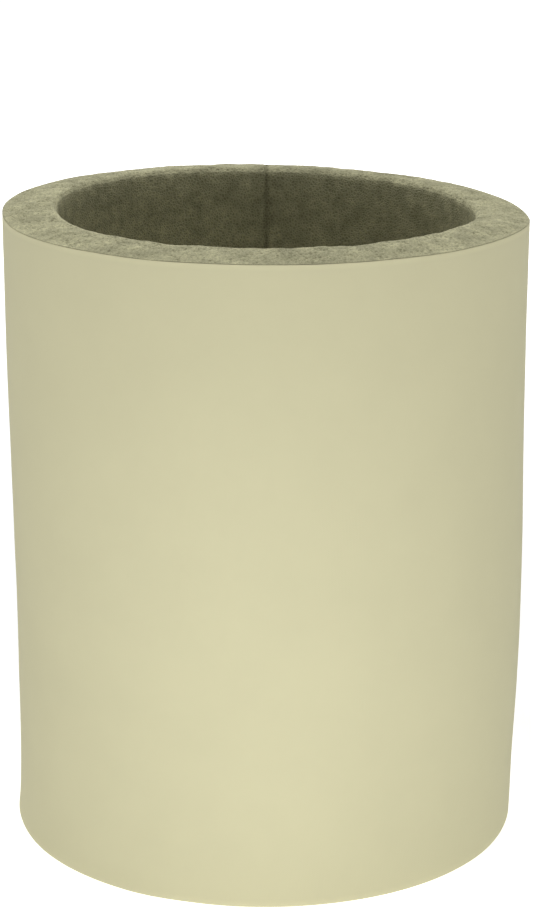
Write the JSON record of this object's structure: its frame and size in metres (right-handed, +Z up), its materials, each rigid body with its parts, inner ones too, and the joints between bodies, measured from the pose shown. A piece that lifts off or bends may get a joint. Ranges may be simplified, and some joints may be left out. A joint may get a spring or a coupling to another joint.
{
  "type": "can cooler sleeve",
  "caption": "Thick foam can cooler sleeve: an open-topped tube of wrapped foam with a smooth cloth skin outside, a bare foam rim and bore, and a foam disc glued in as its base.",
  "frame": {"origin": "centre of the foot, on the plane that the sleeve stands on", "axes": "+Z up along the bore and out of the mouth, +Y towards the glued seam at the back, -Y towards the pictured front"},
  "size_m": [0.084, 0.084, 0.1025],
  "materials": {
    "skin": "smooth matte cloth in pale khaki, laminated to foam",
    "foam": "bare cut foam with fine open cells, in a darker khaki, fully matte"
  },
  "bodies": {
    "root": {"outer_skin": "skin", "foam_wall": "foam", "base_disc": "foam"}
  },
  "joints": []
}
